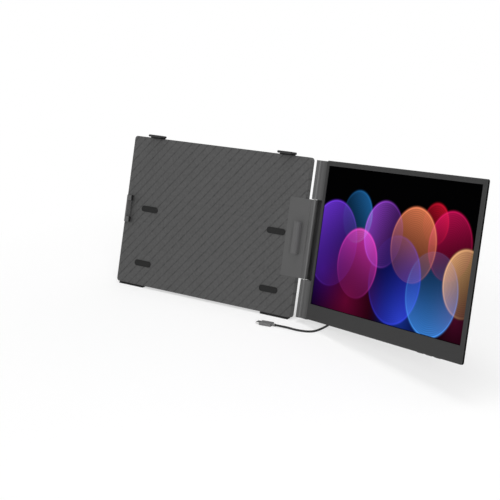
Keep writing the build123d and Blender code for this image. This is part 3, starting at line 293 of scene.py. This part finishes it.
# %% [markdown]
# ## Colours as they show
# A grey that is read from a picture is not the share of light that it stands for, because pictures
# are stored with their dark shades spread out. Blender works with light, so the colours below are
# written as they show, from 0 to 255, and are turned into light here, in plain Python.

# %% Grey and colour levels
def tone(level, tint=(1.0, 1.0, 1.0)):
    """The light of a grey from 0 to 255, as it shows in a picture, with a tint."""
    share = level / 255
    light = ((share + 0.055) / 1.055) ** 2.4 if share > 0.04045 else share / 12.92
    return tuple(light * part for part in tint)


def colour_of(levels):
    """The light of three levels from 0 to 255."""
    return tuple(tone(level)[0] for level in levels)


print("black plastic at level 63 is", round(tone(63)[0], 4), "in light")

# %% [markdown]
# ## Light, floor and white background
# Such pictures are made in soft light on white. More light on the object would wash its colours
# out, so the white comes from what the camera sees of the floor and of the world. What it sees
# directly, in a gloss or through something clear is plain white, and every other ray meets a soft,
# slightly grey room.

# %% World
room_level = 0.45
page_level = 1.0


def seen(finish):
    """1 for a ray from the camera, in a reflection or through something clear, and else 0."""
    direct, gloss, through = (
        finish.node("LightPath", out=name)
        for name in ("Is Camera Ray", "Is Glossy Ray", "Is Transmission Ray")
    )
    return direct.largest(gloss).largest(through)


world = bpy.data.worlds.new("studio")
bpy.context.scene.world = world
room = Finish("studio", world)
room_light = seen(room) * (page_level - room_level) + room_level
background = room.node("Background", {"Color": (1, 1, 1), "Strength": room_light})
room.node("OutputWorld", {"Surface": background})
print("the room gives", room_level, "and shows as", page_level)

# %% [markdown]
# A studio's white sheet is curved up behind the object to hide where it ends. Here one flat square
# is enough: it shows part of its own shading close to the object, where the shadow lies, and fades
# to plain white further out, so that no edge or horizon shows.

# %% Floor
floor_half_width = 9.0
floor_shade = 0.95
shadow_share = 0.5  # how much of its own shading shows near the object
fade_start = 0.3
fade_width = 0.45

page = Finish("white_page")
own_shade = page.node("BsdfDiffuse", {"Color": (floor_shade,) * 3})
plain_white = page.node("Emission", {"Color": (1, 1, 1), "Strength": page_level})
from_middle = page.measured("LENGTH", page.place())
near_object = (1 - (from_middle - fade_start) / fade_width).clamped()
white_share = seen(page) * (1 - near_object * shadow_share)
page.close(page.node("MixShader", {0: white_share, 1: own_shade, 2: plain_white}))

corners = [
    (floor_half_width * side, floor_half_width * end, 0)
    for side, end in ((-1, -1), (1, -1), (1, 1), (-1, 1))
]
floor_sheet = bpy.data.meshes.new("floor")
floor_sheet.from_pydata(corners, [], [(0, 1, 2, 3)])
floor_sheet.materials.append(page.material)
floor = new_object("floor", floor_sheet)
print("floor", 2 * floor_half_width, "m wide")

# %% [markdown]
# The lamps are large and plain, so that a colour shows about as it is written. The strongest stands
# in front, at about the height of the screen, a weaker one is high on the left, and a third hangs
# above and gives the soft shadow under the object. A single sun would be simpler, but its shadows
# have hard edges.

# %% Lamps
lamp_aim = Vector((0, 0, 0.1))
lamps = (
    # name, place, width, power in watts
    ("front", (2.05, -1.75, 0.85), 0.9, 38),
    ("left", (-1.5, -2.0, 2.4), 1.6, 12),
    ("top", (0.0, 0.4, 2.6), 1.8, 32),
)
for name, place, width, power in lamps:
    light = bpy.data.lights.new(name, "AREA")
    light.energy = power
    light.size = width
    lamp = new_object(name, light)
    lamp.location = place
    lamp.rotation_euler = (lamp_aim - Vector(place)).to_track_quat("-Z", "Y").to_euler()
bpy.context.scene.view_settings.view_transform = "Standard"
print(len(lamps), "lamps, and a white page under the object")

# %% [markdown]
# ## Patterns in real size
# Moulded texture, rolled lines and smudges have sizes of their own, whatever piece they are on. An
# image would stretch with the piece and repeat. Here they are worked out from where a point is on
# the part, in metres, so that they keep their size and nothing repeats. Edges turn a little lighter
# and smoother, partly as wear where hands rub them and partly as a painted highlight where an edge
# catches the light, and a Bevel node finds them.

# %% Patterns and plain surfaces
edge_reach = 0.0006  # how far from an edge the wear and the painted highlight go
edge_samples = 4
edge_gain = 4  # how soon a turned normal counts as an edge
wear_and_highlight_patch = 0.012  # size of the patches in which edges turn lighter, as wear and as painted highlight


class PieceFinish(Finish):
    """The finish of a piece, with patterns laid out in metres."""

    def along(self, direction, origin):
        """How far a point is from an origin along a direction."""
        return self.measured("DOT_PRODUCT", self.place(), direction) - direction.dot(origin)

    def noise(self, size, detail=2.0, stretch=(1, 1, 1)):
        """Soft random blotches of a size, from 0 to 1."""
        place = self.node("Mapping", {"Vector": self.place(), "Scale": stretch})
        sockets = {"Vector": place, "Scale": 1 / size, "Detail": detail}
        return self.node("TexNoise", sockets, out="Fac")

    def grain(self, size):
        """The pebbles of a moulded texture, from 0 to 1."""
        return self.node("TexVoronoi", {"Vector": self.place(), "Scale": 1 / size}, out="Distance")

    def worn_and_highlit_edges(self):
        """1 on the outer edges, patchy, where wear and a painted highlight lighten them, and 0 on the
        flats.
        """
        flat = self.node("NewGeometry", out="Normal")
        rounded = self.node("Bevel", {"Radius": edge_reach}, samples=edge_samples)
        turned = 1 - self.measured("DOT_PRODUCT", flat, rounded)
        return (turned * edge_gain).clamped() * self.noise(wear_and_highlight_patch, detail=3)

    def bump(self, height, depth):
        """A surface that rises by a depth where height is 1."""
        return self.node("Bump", {"Height": height, "Distance": depth, "Strength": 1.0})

    def plain(self, colour, roughness, gloss=0.5, **sockets):
        """One surface, with the spaces of its sockets' names written as _."""
        names = {name.replace("_", " "): value for name, value in sockets.items()}
        names.update({"Base Color": colour, "Roughness": roughness, "Specular IOR Level": gloss})
        return self.node("BsdfPrincipled", names)

    def surface(self, *values, **sockets):
        """End the material with one surface."""
        return self.close(self.plain(*values, **sockets))


# the lighter edges are wear and a painted edge highlight together
print("worn edges reach", round(1000 * edge_reach, 2), "mm")

# %% [markdown]
# ## Moulded plastic
# Almost everything outside is injection-moulded plastic. Its tool is spark-eroded, which leaves
# fine pebbles, and its colour drifts a little where it is handled. A picture of plastic would fit
# only one size, so the pebbles come from cells and the drift from noise, both in real millimetres.

# %% How moulded plastic varies
drift_size = 0.05
drift_share = 0.16  # how far a colour drifts, up and down together
rough_drift = 0.12
rough_pebble = 0.08
edge_wear_and_highlight = 0.35  # how much lighter an edge is, as wear and as painted highlight
edge_polish = 0.12  # how much smoother it is


def moulded(name, level, tint, roughness, pebble, depth, gloss, second=None, painted_shade=None):
    """Plastic of a level and tint, with pebbles of a size and depth."""
    finish = PieceFinish(name)
    blotch = finish.noise(drift_size, detail=4) - 0.5
    pebbles = finish.grain(pebble)
    edges_worn_and_highlit = finish.worn_and_highlit_edges()
    # edges turn lighter, partly as wear and partly as a painted highlight
    shade = 1 + blotch * drift_share + (pebbles - 0.5) * drift_share + edges_worn_and_highlit * edge_wear_and_highlight
    # painted shade: the piece turns darker past a start along the screen's width
    if painted_shade:
        start, width, loss = painted_shade
        past_start = (finish.along(screen_across, hinge_foot) - start) / width
        shade = shade * (1 - past_start.clamped() * loss)
    rough = roughness + blotch * rough_drift + (pebbles - 0.5) * rough_pebble - edges_worn_and_highlit * edge_polish
    bump = finish.bump(pebbles, depth)
    first = finish.plain(finish.scaled(tone(level, tint), shade), rough, gloss, Normal=bump)
    if second is None:
        return finish.close(first)
    second_level, second_gloss, first_shows = second
    second_colour = finish.scaled(tone(second_level), shade)
    other = finish.plain(second_colour, rough, second_gloss, Normal=bump)
    return finish.close(finish.node("MixShader", {0: first_shows(finish), 1: other, 2: first}))


# a lighter edge is partly wear and partly a painted highlight
print("a rubbed edge is", round(100 * edge_wear_and_highlight), "% lighter")

# %% [markdown]
# Three mouldings don't show one shade all over. The bezel's side walls are almost black beside its
# front, and the rear cover has a lighter skirt behind the hinge. The knuckle covers get a painted
# shade that darkens them toward the bezel. Such a piece could be split in two, but it is one
# moulding, so a mask along the screen's own directions says where each shade shows.

# %% Where one moulding changes its shade, and where shade is painted
side_line = 0.0001  # the side walls lie behind this level over the hinge's axis
side_blend = 0.0002
hinge_side = 0.05  # beside the hinge the front's shade goes round the wall, up to here
skirt_side = 0.0198  # the skirt ends this far from the hinge
wall_shade = (8, 0.03)  # level and gloss of the bezel's side walls
shell_shade = (30, 0.15)  # and of the rear cover outside its skirt
painted_cover_shade = (0.010, 0.008, 0.5)  # painted shade that darkens the knuckle covers toward the bezel: start, width and share


def beside_hinge(finish, reach=hinge_side):
    """1 nearer to the hinge than a reach, and else 0."""
    return ((reach - finish.along(screen_across, hinge_foot)) / side_blend).clamped()


def screen_front(finish):
    """1 on the screen's front and beside its hinge, and 0 on its side walls."""
    front = ((finish.along(screen_facing, hinge_foot) - side_line) / side_blend).clamped()
    return front.largest(beside_hinge(finish))


def skirt(finish):
    """1 on the rear cover's skirt behind the hinge, and else 0."""
    return beside_hinge(finish, skirt_side)


print("side walls at level", wall_shade[0], "and rear shell at level", shell_shade[0])

# %% [markdown]
# The table below gives each moulding its shade and its texture. A shade could be picked once and
# left, but light and gloss change it, so each level here was tuned in test renders. Rubber parts
# are moulded too, so the same rule makes them, only rougher, and the white film is a smooth one.

# %% Plastics
plastics = {
    # slot: level, tint, roughness, pebble size, pebble depth, gloss
    "hinge_plastic": (78, (1, 1, 1), 0.4, 0.0004, 0.00001, 0.3),
    "clip_plastic": (90, (1, 1, 1), 0.62, 0.0004, 0.00001, 0.1),
    "screen_plastic": (39, (1, 1, 1), 0.5, 0.0005, 0.00002, 0.22),
    "dark_plastic": (44, (1, 1, 1), 0.5, 0.0005, 0.00002, 0.2),
    "skirt_plastic": (52, (1, 1, 1), 0.5, 0.0006, 0.00002, 0.2),
    "chassis_plastic": (36, (1, 1, 1), 0.6, 0.0008, 0.00003, 0.3),
    "guide_plastic": (150, (1, 1, 0.96), 0.5, 0.0008, 0.00002, 0.4),
    "button_plastic": (50, (1, 1, 1), 0.4, 0.0004, 0.00001, 0.3),
    "plug_plastic": (104, (1, 1, 1), 0.42, 0.0004, 0.00001, 0.3),
    "speaker_plastic": (24, (1, 1, 1), 0.6, 0.0006, 0.00002, 0.3),
    "rubber": (30, (1, 1, 1), 0.85, 0.0007, 0.00004, 0.2),
    "lead_rubber": (26, (1, 1, 1), 0.5, 0.0005, 0.00001, 0.25),
    "wire_rubber": (24, (1, 1, 1), 0.6, 0.0005, 0.00001, 0.3),
    "film": (235, (1, 1, 1), 0.35, 0.0006, 0.000005, 0.4),
}
finishes = {slot: moulded(slot, *values) for slot, values in plastics.items()}
finishes["bezel_plastic"] = moulded(
    "bezel_plastic", *plastics["screen_plastic"], second=(*wall_shade, screen_front)
)
finishes["back_plastic"] = moulded(
    "back_plastic", *plastics["skirt_plastic"], second=(*shell_shade, skirt)
)
# the knuckle covers are hinge plastic with a painted shade toward the bezel
finishes["cover_plastic_painted_shade"] = moulded("cover_plastic_painted_shade", *plastics["hinge_plastic"], painted_shade=painted_cover_shade)
print("plastics:", ", ".join(finishes))

# %% [markdown]
# ## The plate's front
# The plate's plastic is rougher than the rest, for grip, and shallow slanted grooves cross it from
# edge to edge. The grooves could be cut in the solid, but at a fraction of a millimetre they are a
# finish: a sine along the slant, sharpened by a power, gives thin lines. A soft noise lets them
# come and go a little, so that they don't look ruled.

# %% Slanted grooves of the plate
plate_level = 70
plate_roughness = 0.52
groove_pitch = 0.0115  # square to the grooves
groove_sharpness = 14
groove_shade = 0.5  # how much darker a groove is
groove_rough = 0.15
groove_depth = 0.00012
groove_patch = 0.009  # size of the patches in which the grooves come and go
patch_gain, patch_loss = 1.6, 0.1

plate = PieceFinish("plate_plastic")
along_slant = plate.along(up, plate_origin) - plate.along(across, plate_origin)
ridges = (along_slant * sin(pi / 4)).wave(groove_pitch) ** groove_sharpness
patches = (plate.noise(groove_patch, detail=2) * patch_gain - patch_loss).clamped()
grooves = ridges * patches
print("grooves", round(1000 * groove_pitch, 2), "mm apart")

# %% Shade and grain of the plate
mottle_size = 0.0035
mottle_shade = 0.8
mottle_rough = 0.2
blotch_size = 0.06
blotch_shade = 0.15
plate_pebble = 0.0007
pebble_shade = 0.12
pebble_height = 0.3  # of a groove's depth

mottle = plate.noise(mottle_size, detail=3) - 0.5
blotch = plate.noise(blotch_size, detail=4) - 0.5
pebbles = plate.grain(plate_pebble)
edges_worn_and_highlit = plate.worn_and_highlit_edges()
shade = 1 - groove_shade * grooves + mottle_shade * mottle + blotch_shade * blotch
# edges turn lighter, partly as wear and partly as a painted highlight
shade = shade + pebble_shade * (pebbles - 0.5) + edges_worn_and_highlit * edge_wear_and_highlight
finishes["plate_plastic"] = plate.surface(
    plate.scaled(tone(plate_level), shade),
    plate_roughness + mottle_rough * mottle + groove_rough * grooves - edges_worn_and_highlit * edge_polish,
    gloss=0.3,
    Normal=plate.bump(pebbles * pebble_height - grooves, groove_depth),
)
print("plate at level", plate_level, "with mottle of", round(1000 * mottle_size, 2), "mm")

# %% [markdown]
# ## Metals
# The kickstand is anodised sheet, and the hinge is steel. Both are rolled, so their fine lines run
# one way. A brushed image would show where it repeats, so the lines are noise stretched along the
# rolling, and the Metallic socket turns the base colour into that of the metal.

# %% Metals
line_size = 0.0004
line_shade = 0.2
line_rough = 0.12
line_depth = 0.000004
smudge_size = 0.03
smudge_rough = 0.15


def rolled(name, level, tint, roughness, stretch):
    """Metal with fine lines, longest where the stretch is least."""
    finish = PieceFinish(name)
    lines = finish.noise(line_size, detail=3, stretch=stretch)
    smudges = finish.noise(smudge_size, detail=3)
    colour = finish.scaled(tone(level, tint), 1 - line_shade / 2 + line_shade * lines)
    rough = roughness + line_rough * (lines - 0.5) + smudge_rough * (smudges - 0.5)
    return finish.surface(colour, rough, Metallic=1.0, Normal=finish.bump(lines, line_depth))


metals = {
    # slot: level, tint, roughness, stretch of its lines
    "kickstand_metal": (92, (1, 1, 1.02), 0.42, (0.03, 1, 1)),
    "tray_metal": (190, (1, 1, 1), 0.35, (0.05, 1, 1)),
    "steel": (175, (1, 0.99, 0.97), 0.32, (1, 0.1, 0.1)),
    "spring_steel": (165, (1, 0.98, 0.95), 0.28, (1, 1, 0.2)),
    "screw_steel": (70, (1, 1, 1), 0.35, (1, 1, 1)),
    "socket_metal": (205, (1, 1, 0.99), 0.25, (0.2, 1, 1)),
}
finishes.update({slot: rolled(slot, *values) for slot, values in metals.items()})
print("metals:", ", ".join(metals))

# %% [markdown]
# ## The lit display
# The display shows a picture of the maker's choice. Here it is a plain arrangement of glowing
# discs in violet, magenta, orange and blue on black. An image file would blur when it is seen from
# near. This picture is worked out from each point's place on the glass, so it stays sharp.

# %% Place on the display
display_left = 0.02655  # from the hinge's axis
display_low = 0.0263
display_width = 0.34415
display_height = 0.1936

display = PieceFinish("polarizer")
across_picture = (display.along(screen_across, hinge_foot) - display_left) / display_width
up_picture = (display.along(up, hinge_foot) - display_low) / display_width
on_display = display.node("CombineXYZ", {"X": across_picture, "Y": up_picture})


def distance_to(centre):
    """How far a point is from a centre, in display widths."""
    return display.measured("DISTANCE", on_display, (*centre, 0))


print("display", display_width, "by", display_height, "m")

# %% Glows behind the discs
glows = (
    # centre across and up and radius, all in display widths; colour; strength
    (0.25, 0.05, 0.30, (120, 10, 60), 0.55),
    (0.62, 0.03, 0.22, (30, 60, 170), 0.55),
    (0.05, 0.15, 0.25, (60, 15, 140), 0.40),
    (0.95, 0.08, 0.20, (90, 15, 50), 0.50),
)
picture = (0, 0, 0)
for left, low, radius, levels, strength in glows:
    nearness = (1 - distance_to((left, low)) / radius).clamped()
    glow = display.scaled(colour_of(levels), nearness * nearness * strength)
    picture = display.with_light(picture, glow)
print(len(glows), "glows on black")

# %% [markdown]
# Each disc has a bright rim, faint rings and a light side, so that it looks like a bubble. They
# could be painted one over the other, but then each would hide the last. Here the light of each is
# laid over what is there, which gives the mixed shades where two of them cross.

# %% Discs
disc_edge = 0.002
ring_pitch = 0.0075
ring_depth = 0.25
dark_side = 0.12  # light left on the side turned away
rim_reach = 0.012  # how far the light of a rim spreads
rim_sharpness = 4
rim_light = 0.8
discs = (
    # centre across and up and radius, all in display widths; colour; fill; rim; light side
    (0.10, 0.26, 0.17, (120, 60, 235), 0.62, 0.9, (-0.6, 0.8)),
    (0.25, 0.38, 0.10, (40, 120, 190), 0.50, 0.7, (0.8, 0.6)),
    (0.29, 0.20, 0.135, (235, 60, 190), 0.62, 1.0, (0.3, 0.95)),
    (0.44, 0.33, 0.125, (170, 80, 235), 0.55, 0.9, (-0.9, 0.4)),
    (0.55, 0.17, 0.165, (50, 60, 225), 0.60, 0.9, (0.7, -0.7)),
    (0.64, 0.31, 0.14, (250, 140, 95), 0.62, 1.0, (0.2, 0.98)),
    (0.76, 0.40, 0.075, (215, 20, 50), 0.60, 0.8, (0.5, 0.85)),
    (0.86, 0.33, 0.125, (210, 20, 90), 0.60, 0.9, (-0.3, 0.95)),
    (0.79, 0.15, 0.155, (70, 150, 245), 0.62, 1.0, (0.1, -1.0)),
    (0.97, 0.21, 0.12, (250, 190, 130), 0.60, 1.0, (-0.8, 0.6)),
)
for left, low, radius, levels, fill, rim, side in discs:
    gap = distance_to((left, low))
    inside = ((radius - gap) / disc_edge).clamped()
    lean = (across_picture - left) * side[0] + (up_picture - low) * side[1]
    shine = (lean / (2 * radius) + 0.5).clamped()
    rings = gap.wave(ring_pitch) * ring_depth + (1 - ring_depth)
    edge = (1 - (gap - radius).absolute() / rim_reach).clamped() ** rim_sharpness
    body_light = inside * (dark_side + shine * shine) * rings * fill
    disc = display.scaled(colour_of(levels), body_light + edge * shine * rim * rim_light)
    picture = display.with_light(picture, disc)
print(len(discs), "discs in the display's picture")

# %% [markdown]
# A display lights only up to a thin black mask round its edge. The mask is printed, so it isn't a
# piece of its own: the picture's light is cut off there. It goes to Emission Color, and the glass
# itself is almost black, with soft smears in its roughness.

# %% Mask and glass of the display
masked_edge = 0.0007
mask_sharpness = 2000
glass_colour = (0.0006, 0.0006, 0.0007)
glass_roughness = 0.22
smear_size = 0.03
smear_rough = 0.08

half_height = display_height / display_width / 2
lit_reach = (0.5 - masked_edge / display_width, half_height - masked_edge / display_width)
lit_across = (lit_reach[0] - (across_picture - 0.5).absolute()) * mask_sharpness
lit_up = (lit_reach[1] - (up_picture - half_height).absolute()) * mask_sharpness
finishes["polarizer"] = display.surface(
    glass_colour,
    glass_roughness + smear_rough * display.noise(smear_size, detail=3),
    gloss=0.0,
    Emission_Color=display.scaled(picture, lit_across.clamped() * lit_up.clamped()),
    Emission_Strength=1.0,
)
print("mask", round(1000 * masked_edge, 2), "mm wide round the picture")

# %% [markdown]
# ## Inside the screen
# Nobody sees the inner sheets and boards until the part is opened, but each still has the look of
# its own stuff: green boards with copper lines, a clear light guide with printed dots, dark glass.
# The lines and the dots are two waves that cross, which is quick and follows the screen's edges.

# %% Boards with copper lines
track_pitch = (0.0021, 0.0017)
track_start = 0.55  # copper where the crossed waves rise over this
track_sharpness = 8
board_green = tone(60, (0.5, 1.6, 0.7))
copper_colour = tone(150, (1.1, 0.9, 0.5))
board_roughness = 0.4
copper_polish = 0.1  # how much smoother the copper is


def crossed(finish, pitch_across, pitch_up):
    """Two waves that cross along the screen's directions, from 0 to 1."""
    wave_across = finish.along(screen_across, hinge_foot).wave(pitch_across)
    return wave_across * finish.along(up, hinge_foot).wave(pitch_up)


board = PieceFinish("board")
copper = ((crossed(board, *track_pitch) - track_start) * track_sharpness).clamped()
finishes["board"] = board.surface(
    board.blend(copper, board_green, copper_colour), board_roughness - copper_polish * copper
)
print("copper lines about", round(1000 * track_pitch[0], 2), "mm apart")

# %% Dark glass of the display's cell
cell_level = 28
cell_blotch = 0.02
cell_drift = 0.4
cell_roughness = 0.08
cell_smear = 0.01
cell_smear_rough = 0.05

glass = PieceFinish("cell_glass")
cell_shade = 1 - cell_drift / 2 + cell_drift * glass.noise(cell_blotch)
finishes["cell_glass"] = glass.surface(
    glass.scaled(tone(cell_level), cell_shade),
    cell_roughness + cell_smear_rough * glass.noise(cell_smear),
)
print("cell glass at level", cell_level)

# %% Clear light guide with printed dots
clear_colour = (0.86, 0.88, 0.88)
clear_roughness = 0.2
dot_pitch = 0.0012
dot_shade = 0.1
dot_rough = 0.3  # how much rougher a printed dot is

clear = PieceFinish("clear_plastic")
dots = crossed(clear, dot_pitch, dot_pitch)
finishes["clear_plastic"] = clear.surface(
    clear.scaled(clear_colour, 1 - dot_shade + dot_shade * dots), clear_roughness + dot_rough * dots
)
print("printed dots", round(1000 * dot_pitch, 2), "mm apart")

# %% [markdown]
# ## Dress the parts
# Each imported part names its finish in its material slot. Setting them one by one by hand would take
# long and miss one, so the slot's name picks the finish. Six pieces share a slot with others that
# look different, and are named here.

# %% Give every CAD part its finish
own_finish = {
    "front_bezel": "bezel_plastic",
    "rear_cover": "back_plastic",
    # the knuckle covers take the finish with the painted shade
    "upper_knuckle_cover": "cover_plastic_painted_shade",
    "lower_knuckle_cover": "cover_plastic_painted_shade",
    "left_top_clip": "dark_plastic",
    "right_top_clip": "dark_plastic",
}
for name, part in nodes.items():
    for slot in part.material_slots:
        slot_name = slot.material.name.split(".")[0]
        slot.material = finishes[own_finish.get(name, slot_name)]
tube.materials.clear()
tube.materials.append(finishes["lead_rubber"])
print("finishes set on", len(nodes), "parts")
